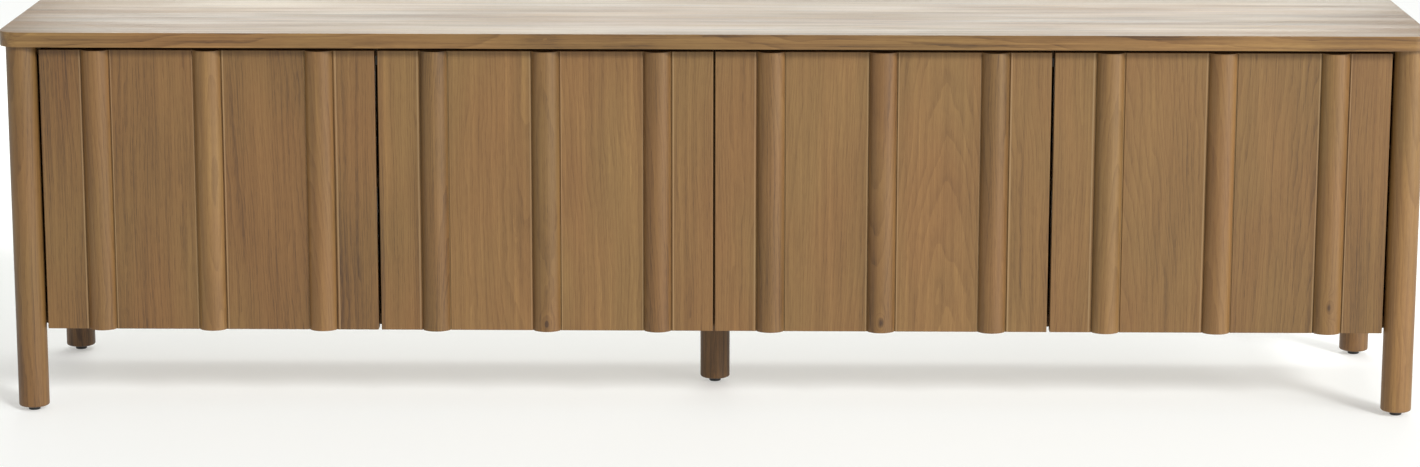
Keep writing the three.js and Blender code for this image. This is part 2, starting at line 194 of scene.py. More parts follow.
# %% Growth rings with knots
RING_SPACING = 6.0 * MM
RING_WAVER = 2.0  # in rings, how far a ring strays from its circle
YEARS_DIFFER = 5.0  # in rings, how far good and poor years shift the count
YEARS_RHYTHM = 0.2  # good and poor years change about every five rings
UNEVEN_PER_METRE = 26.0
KNOT_REACH = 9 * MM
KNOT_CORE = 3.2 * MM
KNOT_BULGE = 18 * MM
KNOT_SHAPE = (1.0, 0.6, 0.55)  # a knot is drawn out in depth and along the grain


def growth_rings(tree, sideways, behind, wave_at, place, knots):
    """How far each point lies through its ring, from 0 to 1, and the dark cores of the knots."""
    add = partial(add_node, tree)
    from_pith = add("CombineXYZ", sideways, behind, 0.0)
    radius = add("VectorMath", from_pith, operation="LENGTH").node.outputs["Value"]
    cores = []
    for knot in knots:
        away = add("VectorMath", place, knot, operation="SUBTRACT")
        squeezed = add("VectorMath", away, KNOT_SHAPE, operation="MULTIPLY")
        distance = add("VectorMath", squeezed, operation="LENGTH").node.outputs["Value"]
        square = add("Math", distance, 2.0, operation="POWER")
        bulge, core = (
            add("Math", add("Math", square, -1 / reach ** 2, operation="MULTIPLY"), operation="EXPONENT")
            for reach in (KNOT_REACH, KNOT_CORE)
        )
        radius = add("Math", bulge, KNOT_BULGE, radius, operation="MULTIPLY_ADD")
        cores.append(core)
    uneven = add("TexNoise", named={"Vector": wave_at, "Scale": UNEVEN_PER_METRE, "Detail": 3.0})
    rhythm = {"W": radius, "Scale": YEARS_RHYTHM / RING_SPACING, "Detail": 2.0}
    years = add("TexNoise", noise_dimensions="1D", named=rhythm)
    count = add("Math", radius, RING_SPACING, operation="DIVIDE")
    count = add("Math", years, YEARS_DIFFER, count, operation="MULTIPLY_ADD")
    count = add("Math", uneven, RING_WAVER, count, operation="MULTIPLY_ADD")
    return add("Math", count, operation="FRACT"), cores


print("rings every", RING_SPACING / MM, "mm")

# %% [markdown]
# ## Stain and lacquer
# Fibres, soft bands and pores are noise drawn out along the grain, each with its own width and
# length. They add up with the ring, the clouds and the board's tone to one number from dark to
# pale, which picks the stain's colour. The hue drifts a little between cool and warm patches. Along
# an arris a pale line in the colour of raw oak can be mixed into the stain: a painted highlight,
# where the broken edge catches the light. A satin lacquer with an index of 1.5 lies over it all. It
# was brushed on, so it is duller in some sweeps than in others, and thin enough for the pores to be
# felt through it.

# %% Oak, stained and lacquered
PORE_WIDTH, PORE_LENGTH = 0.55 * MM, 14 * MM
FIBRE_WIDTH, FIBRE_LENGTH = 1.6 * MM, 160 * MM
BAND_WIDTH, BAND_LENGTH = 9 * MM, 420 * MM
SWEEP_WIDTH, SWEEP_LENGTH = 26 * MM, 380 * MM
PITH_REACH = 0.5  # metres between the piths furthest to the left and to the right
PITH_DEPTH = 0.07  # metres between the nearest and the deepest
PITH_BEND, BENDS_PER_METRE = -0.035, 2.6  # metres, and radians of the bend's wave
GRAIN_SWING, WAVES_PER_METRE = 0.030, 9.0
WAVE_DRAWN_OUT = 0.3  # waves and clouds are about three times as long as wide
BOARD_SHIFT = 7.0  # metres along a long log that two boards may lie apart
CLOUDS_PER_METRE, PATCHES_PER_METRE = 7.0, 11.0
RING_SHADES = ((0.0, 0.25), (0.10, 0.12), (0.34, 0.50), (0.62, 0.66), (0.93, 0.78), (1.0, 0.72))
TONE_REACH_CHOSEN, TONE_REACH_RANDOM = 0.5, 0.16
STAIN_PLACES = (0.0, 0.34, 0.66, 1.0)
COOL_PATCH, WARM_PATCH = "#fbfff6", "#fff8ee"
# the pale colour of the painted highlight along an arris
ARRIS_HIGHLIGHT = "#9c7f5c"


def stained_oak(
    name, axes, board, origin, pith, shades,
    roughness=0.55, figure=1.0, chosen=None, knots=(), arris=None,
):
    """
    Oak, stained and lacquered satin. axes names the row axes across, through and along the boards,
    such as "xyz". board is the width of one board and origin the place of a joint between two.
    pith is the depth of the pith below the cabinet's middle plane. shades are the hex colours of
    open pores, early wood, late wood and the palest streaks. figure makes the grain stronger or
    weaker. chosen lists boards given one by one, as in board_numbers. knots are places of small
    knots.
    arris is a sanded-through edge: its distance from a joint, its half width, and how far back it
    arris paints a highlight: a pale line mixed into the stain along a broken edge, where it
    catches the light. It gives the line's distance from a joint, its half width, and how far back
    it reaches.
    """
    material, tree, place = new_material(name)
    add = partial(add_node, tree)
    parts = add("SeparateXYZ", place).node
    across, deep, along = (parts.outputs["xyz".index(axis)] for axis in axes)
    cell, chance, numbers = board_numbers(tree, name, across, deep, board, origin, chosen)
    numbers = add("SeparateXYZ", numbers).node
    board_tone, pith_across, pith_deep = (numbers.outputs[i] for i in range(3))

    # the wood's own coordinates: shifted along for each board, waving gently
    shifted = add("Math", chance, BOARD_SHIFT, along, operation="MULTIPLY_ADD")
    centre = add("Math", cell, board, origin + board / 2, operation="MULTIPLY_ADD")
    local = add("Math", across, centre, operation="SUBTRACT")
    slow = add("Math", shifted, WAVE_DRAWN_OUT, operation="MULTIPLY")
    wave_at = add("CombineXYZ", add("Math", across, chance, operation="ADD"), deep, slow)
    wave = add("TexNoise", named={"Vector": wave_at, "Scale": WAVES_PER_METRE, "Detail": 2.0})
    swing = add("Math", add("Math", wave, 0.5, operation="SUBTRACT"), GRAIN_SWING, operation="MULTIPLY")

    # the pith lies beside and behind the board, and bends along it
    from_middle = add("Math", pith_across, 0.5, operation="SUBTRACT")
    pith_side = add("Math", from_middle, PITH_REACH, operation="MULTIPLY")
    beside_pith = add("Math", local, pith_side, operation="SUBTRACT")
    sideways = add("Math", beside_pith, swing, operation="ADD")
    bend = add("Math", add("Math", shifted, BENDS_PER_METRE, operation="MULTIPLY"), operation="SINE")
    depth = add("Math", add("Math", deep, operation="ABSOLUTE"), pith, operation="SUBTRACT")
    behind = add("Math", pith_deep, PITH_DEPTH, depth, operation="MULTIPLY_ADD")
    behind = add("Math", bend, PITH_BEND, behind, operation="MULTIPLY_ADD")
    ring, knot_cores = growth_rings(tree, sideways, behind, wave_at, place, knots)
    ring_stops = [(stop, (shade,) * 3 + (1,)) for stop, shade in RING_SHADES]
    ring_tone = fill_ramp(add("ValToRGB", ring), ring_stops)

    # noise drawn out along the grain
    drawn = []
    for width, length, detail in (
        (FIBRE_WIDTH, FIBRE_LENGTH, 3.0),
        (BAND_WIDTH, BAND_LENGTH, 2.0),
        (PORE_WIDTH, PORE_LENGTH, 0.0),
        (SWEEP_WIDTH, SWEEP_LENGTH, 2.0),
    ):
        grain_at = add("CombineXYZ", across, deep, shifted)
        stretch = (1 / width, 1 / width, 1 / length)
        stretched = add("VectorMath", grain_at, stretch, operation="MULTIPLY")
        drawn.append(add("TexNoise", named={"Vector": stretched, "Scale": 1.0, "Detail": detail}))
    fibre, band, pore, sweep = drawn
    open_wood = add("Math", 1.0, ring, operation="SUBTRACT")
    pores = add("MapRange", add("Math", open_wood, 0.10, pore, operation="MULTIPLY_ADD"), 0.60, 0.70)
    clouds = add("TexNoise", named={"Vector": wave_at, "Scale": CLOUDS_PER_METRE, "Detail": 3.0})

    # one number from dark to pale, then the stain's colours
    tone = add("Math", fibre, 0.44 * figure, 0.52 - 0.22 * figure, operation="MULTIPLY_ADD")
    for part, middle_value, weight in (
        (ring_tone, 0.58, 0.22 * figure),
        (band, 0.5, 0.58 * figure),
        (clouds, 0.5, 0.60 * figure),
        (board_tone, 0.5, TONE_REACH_CHOSEN if chosen else TONE_REACH_RANDOM),
        (pores, 0.0, -0.12),
        *[(core, 0.0, -0.60) for core in knot_cores],
    ):
        off_middle = add("Math", part, middle_value, operation="SUBTRACT")
        tone = add("Math", off_middle, weight, tone, operation="MULTIPLY_ADD")
    stain_stops = [(at, hex_colour(shade)) for at, shade in zip(STAIN_PLACES, shades)]
    stain = fill_ramp(add("ValToRGB", tone), stain_stops)
    # painted highlight: half of a pale line is mixed into the stain along the arris in front of a joint,
    # where the broken edge catches the light
    if arris:
        from_joint = add("Math", board / 2, add("Math", local, operation="ABSOLUTE"), operation="SUBTRACT")
        beside = add("Math", from_joint, *arris[:2], operation="COMPARE")
        in_front = add("Math", deep, arris[2], operation="LESS_THAN")
        painted_highlight = add("Math", beside, in_front, operation="MULTIPLY")
        stain = add("MixRGB", add("Math", painted_highlight, 0.5, operation="MULTIPLY"), stain, hex_colour(ARRIS_HIGHLIGHT))
    patch = add("TexNoise", named={"Vector": wave_at, "Scale": PATCHES_PER_METRE, "Detail": 2.0})
    warmth = add("MapRange", patch, 0.35, 0.65)
    hue = add("MixRGB", warmth, hex_colour(COOL_PATCH), hex_colour(WARM_PATCH))
    stain = add("MixRGB", 1.0, stain, hue, blend_type="MULTIPLY")

    # the brushed lacquer, and the pores felt through it
    uneven_shine = 0.025 * figure
    shine = add("MapRange", sweep, 0.35, 0.65, roughness + uneven_shine, roughness - uneven_shine)
    relief = add("Math", add("Math", fibre, 0.4, operation="MULTIPLY"), pores, operation="SUBTRACT")
    bump = add("Bump", named={"Height": relief, "Strength": 0.25, "Distance": 0.12 * MM})
    surface = add("BsdfPrincipled", named={
        "Base Color": stain,
        "Roughness": shine,
        "Normal": bump,
        "IOR": 1.5,
    })
    add("OutputMaterial", surface)
    return material


print("pores", PORE_WIDTH / MM, "mm wide, fibres", FIBRE_WIDTH / MM, "mm, bands", BAND_WIDTH / MM, "mm")

# %% [markdown]
# ## Where each board lies
# The shader needs the rhythm of the boards. The doors' boards meet behind the battens, so the
# joints are the battens' centre lines, and a new door also starts a new board. Both come from the
# frame, so the grain always breaks where a batten or a gap hides the break.

# %% The rhythm of doors and battens
DOORS = ["door_1", "door_2", "door_3", "door_4"]
LEFT_HINGED = ("door_1", "door_3")


def middle(node):
    """The centre of a frame node's box."""
    low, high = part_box(node)
    return (low + high) / 2


batten_first = middle("door_1_batten_1").x
batten_last = middle("door_4_batten_3").x
BATTEN_PITCH = (batten_last - batten_first) / 11
DOOR_PITCH = middle("door_4_panel").x - middle("door_3_panel").x
print("battens every", round(BATTEN_PITCH / MM, 1), "mm")

# %% [markdown]
# ## Boards and battens, one by one
# The sixteen boards of the doors and the twelve battens are chosen one by one, as a joiner lays
# boards out before gluing: a pith near a board's middle and just behind it gives cathedrals, one
# far to the side gives straight grain. Three battens keep a small tight knot near the foot, which
# the stain turns dark.

# %% Choose the door boards and battens
STAIN = ("#402911", "#684a25", "#7a5a32", "#917041")
# each door's four boards from left to right, as (tone, pith across, pith depth)
DOOR_BOARDS = [
    (0.24, 0.90, 0.6), (0.28, 0.16, 0.5), (0.19, 0.85, 0.4), (0.22, 0.12, 0.6),
    (0.56, 0.95, 0.3), (0.64, 0.62, 0.5), (0.63, 0.30, 0.4), (0.50, 0.88, 0.5),
    (0.43, 0.10, 0.5), (0.57, 0.86, 0.6), (0.63, 0.52, 0.2), (0.65, 0.15, 0.4),
    (0.57, 0.90, 0.6), (0.65, 0.33, 0.5), (0.40, 0.66, 0.3), (0.37, 0.10, 0.5),
]
BATTEN_TONES = [0.40, 0.79, 0.54, 0.22, 0.39, 0.26, 0.46, 0.33, 0.35, 0.72, 0.65, 0.83]
PITH_STEP = 0.37  # the pith's place moves on by this share from batten to batten
door_starts = []
for door in DOORS:
    low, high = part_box(f"{door}_panel")
    door_starts += [low.x, *(middle(f"{door}_batten_{i}").x for i in (1, 2, 3))]
door_boards = [(start, *numbers) for start, numbers in zip(door_starts, DOOR_BOARDS)]
battens = [
    (batten_first + (i - 0.5) * BATTEN_PITCH, tone, (PITH_STEP * i) % 1, 0.5)
    for i, tone in enumerate(BATTEN_TONES)
]


def knot_on(batten, height):
    """A knot on the crest of a batten, at a height above the batten's foot."""
    low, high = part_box(batten)
    return ((low.x + high.x) / 2, low.y, low.z + height)


KNOTS = [
    knot_on("door_2_batten_2", 12 * MM),
    knot_on("door_3_batten_2", 16 * MM),
    knot_on("door_4_batten_3", 42 * MM),
]
print("boards chosen:", len(door_boards), "and battens:", len(battens))

# %% [markdown]
# ## The oak's finishes
# One stain goes over all of it, so the pieces differ by grain more than by colour. Doors, battens,
# posts, sides and the partition have upright grain; the top, the bottom, the shelves, the rails and
# the backs run lengthwise. The rear posts and the centre leg get the darkest tones as painted
# shade, because they stand in the shadow under the cabinet.

# %% Mix the oak materials
QUIRK_WIDTH = 1.5 * MM
ARRIS_HIGHLIGHT_HALF_WIDTH = 1.1 * MM
TOP_BOARD, CARCASS_BOARD = 115 * MM, 120 * MM
TOP_JOINT, CARCASS_JOINT = -0.2285, -0.18  # where one joint between two boards lies
ONE_PIECE = 0.5  # wider than any post
batten_low, batten_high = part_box("door_1_batten_1")
ARRIS_AT = (batten_high.x - batten_low.x) / 2 + QUIRK_WIDTH + 1.2 * MM
# the door boards get a painted highlight: a pale line along the arris beside each batten
oak_doors = stained_oak(
    "stained_oak_door_boards", "xyz", BATTEN_PITCH, batten_first, 0.165, STAIN,
    chosen=door_boards, arris=(ARRIS_AT, ARRIS_HIGHLIGHT_HALF_WIDTH, batten_high.y + 2 * MM),
)
oak_battens = stained_oak(
    "stained_oak_battens", "xyz", BATTEN_PITCH, battens[0][0], 0.13, STAIN,
    roughness=0.5, chosen=battens, knots=KNOTS,
)
# the centre cell's darkest tone, on the centre leg, is painted shade for the shadow under the cabinet
oak_posts = stained_oak(
    "stained_oak_posts", "xyz", ONE_PIECE, -ONE_PIECE / 2, 0.11, STAIN, roughness=0.5,
    chosen=[(-1.2, 0.30, 0.6, 0.5), (-0.5, 0.00, 0.3, 0.5), (0.5, 1.00, 0.4, 0.5)],
)
# painted shade: the rear posts get dark tones because they stand in the shadow under the cabinet
oak_rear_posts = stained_oak(
    "stained_oak_rear_posts", "xyz", ONE_PIECE, -ONE_PIECE / 2, 0.11, STAIN, roughness=0.5,
    chosen=[(-1.2, 0.00, 0.3, 0.5), (0.5, 0.15, 0.6, 0.5)],
)
oak_top = stained_oak(
    "stained_oak_top", "yzx", TOP_BOARD, TOP_JOINT, 0.50, STAIN, roughness=0.42, figure=1.8,
)
oak_sides = stained_oak("stained_oak_side_panels", "yxz", CARCASS_BOARD, CARCASS_JOINT, 0.98, STAIN)
oak_inside = stained_oak("stained_oak_carcass_boards", "yzx", CARCASS_BOARD, CARCASS_JOINT, 0.08, STAIN)
oak_upright = stained_oak("stained_oak_partition", "yxz", CARCASS_BOARD, CARCASS_JOINT, -0.06, STAIN)
plywood = stained_oak(
    "stained_plywood_backs", "zyx", 1.0, -0.2, 0.02,
    ("#3a2817", "#564027", "#634b30", "#70573a"), roughness=0.6,
)
print("oak finishes:", [m.name for m in bpy.data.materials if "stained" in m.name])

# %% [markdown]
# ## Metal and plastic
# Hinges and shelf pins are steel with a bright nickel plate: a metal, so its colour tints the
# reflections, and a fine brushed noise keeps them from looking like a mirror. The glides are black
# nylon, moulded, with a soft even sheen. The latches are light grey ABS from a spark-eroded mould,
# whose grit of a few tenths of a millimetre shows as fine bumps. Door buffers are soft clear
# polyurethane.

# %% Mix the metal and plastic materials
def moulded_plastic(name, colour, roughness, grit, depth):
    """A moulded plastic with the fine grit of its mould; grit and depth in metres."""
    material, tree, place = new_material(name)
    grain = add_node(tree, "TexNoise", named={"Vector": place, "Scale": 1 / grit, "Detail": 2.0})
    worn = tuple(min(1.0, c * 1.25 + 0.002) for c in hex_colour(colour))
    shade = add_node(tree, "MixRGB", grain, hex_colour(colour), worn)
    bump = add_node(tree, "Bump", named={"Height": grain, "Strength": 0.4, "Distance": depth})
    surface = add_node(tree, "BsdfPrincipled", named={
        "Base Color": shade,
        "Roughness": roughness,
        "Normal": bump,
        "IOR": 1.5,
    })
    add_node(tree, "OutputMaterial", surface)
    return material


def nickel_plated_steel():
    """Stamped steel under bright nickel, with the faint lines of its rolling."""
    material, tree, place = new_material("nickel_plated_steel")
    drawn = add_node(tree, "VectorMath", place, (400.0, 2500.0, 400.0), operation="MULTIPLY")
    lines = add_node(tree, "TexNoise", named={"Vector": drawn, "Scale": 1.0, "Detail": 2.0})
    dull = add_node(tree, "MapRange", lines, 0.2, 0.8, 0.24, 0.38)
    tint = add_node(tree, "MixRGB", lines, hex_colour("#b9b6ad"), hex_colour("#cfccc4"))
    surface = add_node(tree, "BsdfPrincipled", named={
        "Base Color": tint,
        "Metallic": 1.0,
        "Roughness": dull,
    })
    add_node(tree, "OutputMaterial", surface)
    return material


nickel = nickel_plated_steel()
black_nylon = moulded_plastic("black_nylon", "#161616", 0.45, 0.5 * MM, 0.03 * MM)
grey_abs = moulded_plastic("grey_abs", "#8b8b88", 0.5, 0.4 * MM, 0.03 * MM)
clear_buffer = moulded_plastic("clear_polyurethane", "#c9c6bd", 0.3, 1.0 * MM, 0.01 * MM)
print("hard finishes:", nickel.name, black_nylon.name, grey_abs.name, clear_buffer.name)

# %% [markdown]
# ## From mesh to piece
# Each piece rides on the body of the frame that carries it and stands in for the plain node of the
# same place. Its edges are eased by a millimetre or less. Smooth shading would spread the tilt of
# such a small bevel over the whole board and make it look bowed, so a broad face is kept flat up to
# its edges.

# %% Shading and finishing
BROAD_FACE = 1e-4  # square metres
BROAD_ANGLE = 5  # degrees; the facets of a batten meet at less


def set_shading(mesh, smooth=35):
    """Shades small faces smooth into each other, and keeps a broad face flat up to its edges."""
    bm = bmesh.new()
    bm.from_mesh(mesh)
    for face in bm.faces:
        face.smooth = True
    for edge in bm.edges:
        if len(edge.link_faces) == 2:
            broad = max(face.calc_area() for face in edge.link_faces) > BROAD_FACE
            edge.smooth = edge.calc_face_angle() < math.radians(BROAD_ANGLE if broad else smooth)
    bm.to_mesh(mesh)
    bm.free()


def clean(bm):
    """Welds doubled points and turns all faces outwards."""
    bmesh.ops.remove_doubles(bm, verts=bm.verts, dist=1e-7)
    bmesh.ops.recalc_face_normals(bm, faces=bm.faces)


def as_object(bm, name):
    """Turns a bmesh into an object in the scene."""
    mesh = bpy.data.meshes.new(name)
    bm.to_mesh(mesh)
    bm.free()
    made = bpy.data.objects.new(name, mesh)
    bpy.context.collection.objects.link(made)
    return made


def finish_piece(bm, name, material, body, stands_for=()):
    """Turns a bmesh into an object with a finish that rides on a body of the frame."""
    clean(bm)
    piece = as_object(bm, name)
    piece.data.materials.append(material)
    set_shading(piece.data)
    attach(piece, body)
    if stands_for:
        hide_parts(*stands_for)
    return piece


print("a face is broad from", BROAD_FACE / MM ** 2, "square mm")

# %% [markdown]
# ## From outline to mesh
# Joinery is made of few kinds of shape: a board is an outline given a thickness, a post or a screw
# is a profile turned round an axis, and every edge a hand can touch is eased with sandpaper.

# %% Mesh helpers
def extruded(outline, low, high):
    """A bmesh prism: an outline of (x, y) points between two heights."""
    bm = bmesh.new()
    rings = [[bm.verts.new((px, py, z)) for px, py in outline] for z in (low, high)]
    bm.faces.new(rings[0][::-1])
    bm.faces.new(rings[1])
    count = len(outline)
    for i in range(count):
        j = (i + 1) % count
        bm.faces.new((rings[0][i], rings[0][j], rings[1][j], rings[1][i]))
    return bm


def turned(profile, steps):
    """A bmesh turned round Z: profile points are (radius, height), on the axis at both ends."""
    bm = bmesh.new()
    rings = []
    for radius, height in profile:
        if radius < 1e-9:
            rings.append([bm.verts.new((0, 0, height))])
            continue
        angles = [2 * math.pi * i / steps for i in range(steps)]
        circle = [(radius * math.cos(angle), radius * math.sin(angle), height) for angle in angles]
        rings.append([bm.verts.new(point) for point in circle])
    for below, above in zip(rings, rings[1:]):
        for i in range(steps):
            j = (i + 1) % steps
            corners = [below[i % len(below)], below[j % len(below)]]
            corners += [above[j % len(above)], above[i % len(above)]]
            corners = list(dict.fromkeys(corners))
            if len(corners) > 2:
                bm.faces.new(corners)
    return bm


def ease(bm, width, chosen=None, segments=2):
    """Rounds the edges for which chosen(edge) is true, or all of them."""
    edges = [edge for edge in bm.edges if chosen is None or chosen(edge)]
    bmesh.ops.bevel(
        bm, geom=edges, offset=width, segments=segments, profile=0.5, affect="EDGES", clamp_overlap=True,
    )


def level(edge):
    """True for an edge that lies level."""
    return abs(edge.verts[0].co.z - edge.verts[1].co.z) < 1e-6


def sharp(edge, angle=math.radians(30)):
    """True for an edge between faces that meet at more than an angle."""
    return len(edge.link_faces) == 2 and edge.calc_face_angle() > angle


def arc(centre, radius, start, stop, steps):
    """Points on an arc, with angles in degrees."""
    turns = [math.radians(start + (stop - start) * i / steps) for i in range(steps + 1)]
    return [(centre[0] + radius * math.cos(t), centre[1] + radius * math.sin(t)) for t in turns]


def round_cornered(half_x, half_y, radius, steps):
    """The outline of a rectangle about the origin with round corners, each of so many steps."""
    points = []
    for cx, cy, start in ((1, 1, 0), (-1, 1, 90), (-1, -1, 180), (1, -1, 270)):
        centre = (cx * (half_x - radius), cy * (half_y - radius))
        points += arc(centre, radius, start, start + 90, steps)
    return points


def moved(bm, place, rotation=None):
    """Turns and moves a whole bmesh."""
    matrix = Matrix.Translation(place) @ (rotation or Matrix.Identity(4))
    bmesh.ops.transform(bm, matrix=matrix, verts=bm.verts)
    return bm


def merged(parts):
    """Several bmeshes as one."""
    whole = bmesh.new()
    for part in parts:
        mesh = bpy.data.meshes.new("part")
        part.to_mesh(mesh)
        part.free()
        whole.from_mesh(mesh)
        bpy.data.meshes.remove(mesh)
    return whole


def from_node(node):
    """A frame node's shape as a bmesh with its flat faces whole again."""
    bm = bmesh.new()
    bm.from_mesh(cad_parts[node].data)
    bmesh.ops.remove_doubles(bm, verts=bm.verts, dist=1e-6)
    bmesh.ops.dissolve_limit(bm, angle_limit=math.radians(1), verts=bm.verts, edges=bm.edges)
    return bm


print("mesh helpers ready")

# %% [markdown]
# ## The top
# The top's corners follow the posts below it, so its plan is a rectangle with round corners that
# share the posts' centres. Its arrises are only just broken with fine paper: a fine light line runs
# along them, and anything rounder would look like plastic.

# %% Make the top
post_low, post_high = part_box("post_front_right")
top_low, top_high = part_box("top")
post_centre = (post_low + post_high) / 2
POST_RADIUS = (post_high.x - post_low.x) / 2
corner = top_high.x - post_centre.x
bm = extruded(round_cornered(top_high.x, top_high.y, corner, 24), top_low.z, top_high.z)
ease(bm, 1.2 * MM, level, segments=3)
top = finish_piece(bm, "oak_top", oak_top, "cabinet", ["top"])
print("top corner radius, mm:", round(corner / MM, 1))

# %% [markdown]
# ## Posts, centre leg and glides
# Each leg is a plain turned cylinder with a small round at its foot. Turning gives a smooth surface,
# so ninety-six steps are used round it. Below it a black nylon glide screws in and out to level the
# cabinet on an uneven floor. A glide's thread goes up into the leg, out of sight.

# %% Turn the legs and glides
def leg_profile(low, high, radius, foot_round):
    """A cylinder from low to high with a rounded foot."""
    rounding = arc((radius - foot_round, low + foot_round), foot_round, -90, 0, 6)
    return [(0, low), *rounding, (radius, high - 0.2 * MM), (radius - 0.2 * MM, high), (0, high)]


FOOT_ROUND, SHOULDER_ROUND, THREAD_RADIUS = 1.2 * MM, 0.6 * MM, 4 * MM
LEGS = [f"post_{end}_{side}" for end in ("front", "rear") for side in ("left", "right")]
for node in [*LEGS, "centre_leg"]:
    low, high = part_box(node)
    bm = turned(leg_profile(low.z, high.z, POST_RADIUS, 3 * MM), 96)
    moved(bm, middle(node).xy.to_3d())
    # the rear posts take the darker oak, which is painted shade
    wood = oak_rear_posts if "rear" in node else oak_posts
    finish_piece(bm, f"oak_{node}", wood, "cabinet", [node])

for node in [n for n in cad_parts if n.startswith("glide_")]:
    low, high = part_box(node)
    radius = (high.x - low.x) / 2
    pad_top = post_low.z - 0.1 * MM
    foot = arc((radius - FOOT_ROUND, low.z + FOOT_ROUND), FOOT_ROUND, -90, 0, 5)
    shoulder = arc((radius - SHOULDER_ROUND, pad_top - SHOULDER_ROUND), SHOULDER_ROUND, 0, 90, 4)
    thread = [(THREAD_RADIUS, pad_top), (THREAD_RADIUS, high.z)]
    profile = [(0, low.z), *foot, *shoulder, *thread, (0, high.z)]
    bm = moved(turned(profile, 48), middle(node).xy.to_3d())
    finish_piece(bm, f"nylon_{node}", black_nylon, "cabinet", [node])
print("legs of", round(2 * POST_RADIUS / MM), "mm, clear of the floor by", round(post_low.z / MM, 1), "mm")

# %% [markdown]
# ## Door panels
# Seen from the front, each panel reads as boards between the battens. A narrow quirk, a small
# square groove, runs beside every batten, and the board's arris next to it is broken, so a dark
# line and a fine light line frame each batten. The light line is partly the broken arris catching
# the light and partly a painted highlight in the stain. The panel is drawn in plan, with its
# quirks, and given its height. The bores for the hinge cups are cut into its back.

# %% Make the door panels
QUIRK_DEPTH = 1.6 * MM
UNDER_BATTEN = 1.0 * MM
ARRIS = 0.8 * MM
BORE_DEPTH = 15 * MM
BORE_PLAY = 0.2 * MM


def door_plan(low, high, battens):
    """The plan of a door panel: its outline as (x, y) points, with a quirk beside each batten."""
    front, back = low.y, high.y
    points = [(low.x, back - ARRIS), (low.x, front + ARRIS), (low.x + ARRIS, front)]
    for batten in battens:
        b_low, b_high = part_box(batten)
        for edge, way in ((b_low.x, 1), (b_high.x, -1)):
            quirk = [
                (edge - way * (QUIRK_WIDTH + ARRIS), front),
                (edge - way * QUIRK_WIDTH, front + ARRIS),
                (edge - way * QUIRK_WIDTH, front + QUIRK_DEPTH),
                (edge + way * UNDER_BATTEN, front + QUIRK_DEPTH),
                (edge + way * UNDER_BATTEN, front),
            ]
            points += quirk if way > 0 else quirk[::-1]
    points += [(high.x - ARRIS, front), (high.x, front + ARRIS), (high.x, back - ARRIS)]
    points += [(high.x - ARRIS, back), (low.x + ARRIS, back)]
    return points


def cut_bores(piece, cutters):
    """Cuts bores into a piece with a Boolean modifier and applies it."""
    bores = merged(cutters)
    bmesh.ops.recalc_face_normals(bores, faces=bores.faces)
    tool = as_object(bores, "bores")
    boolean = piece.modifiers.new("bores", "BOOLEAN")
    boolean.object = tool
    boolean.operation = "DIFFERENCE"
    boolean.solver = "EXACT"
    depsgraph = bpy.context.evaluated_depsgraph_get()
    cut = bpy.data.meshes.new_from_object(piece.evaluated_get(depsgraph))
    piece.modifiers.clear()
    set_shading(cut)
    cut.name = piece.data.name + "_bored"
    piece.data = cut
    bpy.data.meshes.remove(tool.data)  # takes its object with it


TO_Y = Matrix.Rotation(math.radians(-90), 4, "X")  # turns +Z to +Y
for door in DOORS:
    low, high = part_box(f"{door}_panel")
    glued_on = [f"{door}_batten_{i}" for i in (1, 2, 3)]
    bm = extruded(door_plan(low, high, glued_on), low.z, high.z)
    ease(bm, 0.5 * MM, segments=1)
    panel = finish_piece(bm, f"oak_{door}_panel", oak_doors, door, [f"{door}_panel"])
    cutters = []
    for place in ("lower", "upper"):
        cup_low, cup_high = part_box(f"{door}_hinge_cup_{place}")
        radius = (cup_high.x - cup_low.x) / 2 + BORE_PLAY
        bore = turned([(0, 0), (radius, 0), (radius, BORE_DEPTH), (0, BORE_DEPTH)], 64)
        centre = (cup_low + cup_high) / 2
        cutters.append(moved(bore, (centre.x, cup_low.y - BORE_PLAY, centre.z), TO_Y))
    cut_bores(panel, cutters)
print("door panels:", len(DOORS))

# %% [markdown]
# ## Battens
# The battens are sliced from round stock and glued on flat side down, so each is a segment of a
# circle in plan. Their ends are sawn square and just broken, which leaves a thin light line at the
# top under the cabinet's top. A finer arc than the frame's keeps the highlight on them smooth.

# %% Make the battens
for door in DOORS:
    for i in (1, 2, 3):
        node = f"{door}_batten_{i}"
        low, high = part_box(node)
        half, proud = (high.x - low.x) / 2, high.y - low.y
        stock = (half ** 2 + proud ** 2) / (2 * proud)
        spread = math.degrees(math.asin(half / stock))
        plan = arc((middle(node).x, low.y + stock), stock, -90 - spread, -90 + spread, 32)
        bm = extruded(plan, low.z, high.z)
        ease(bm, 0.5 * MM, level)
        finish_piece(bm, f"oak_{node}", oak_battens, door, [node])
print("battens stand", round(proud / MM, 1), "mm proud, from stock of", round(2 * stock / MM), "mm")

# %% [markdown]
# ## Boards of the carcass
# Side panels and shelves are plain boards, so each is made from its box in the frame with its
# edges eased. The bottom, the rails, the partition and the backs have notches and slots that the
# frame already holds, so those keep the frame's shape and take the finish.

# %% Make the boards and finish the rest of the carcass
def eased_board(node, material, easing):
    """A board from a node's box, with all its edges eased."""
    low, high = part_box(node)
    bm = bmesh.new()
    bmesh.ops.create_cube(bm, size=1.0)
    scale = Matrix.Diagonal((*(high - low), 1.0))
    bmesh.ops.transform(bm, matrix=Matrix.Translation((low + high) / 2) @ scale, verts=bm.verts)
    ease(bm, easing)
    return finish_piece(bm, f"oak_{node}", material, "cabinet", [node])


